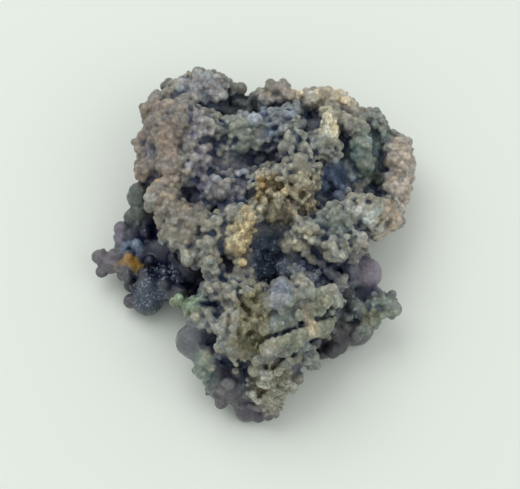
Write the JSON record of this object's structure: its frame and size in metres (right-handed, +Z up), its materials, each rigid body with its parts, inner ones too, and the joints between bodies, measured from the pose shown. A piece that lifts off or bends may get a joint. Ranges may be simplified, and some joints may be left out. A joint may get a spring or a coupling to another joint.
{
  "type": "botryoidal chalcedony specimen",
  "caption": "Loose, palm-sized cluster of grape-like chalcedony balls with a rough top full of lumps and hollows; rests on its worn underside as a display stone.",
  "frame": {"origin": "centre of the bounding box in X and Y, on the plane of the worn flats that the stone rests on", "axes": "+Z up, out of the rough top; -Y towards the narrow foot, the side nearest the viewer; +X towards the viewer's right"},
  "size_m": [0.0488, 0.054, 0.0208],
  "materials": {
    "chalcedony": "waxy grey-violet, tan in the middle and dark in the hollows"
  },
  "bodies": {
    "root": {"chalcedony_cluster": "chalcedony"}
  },
  "joints": []
}
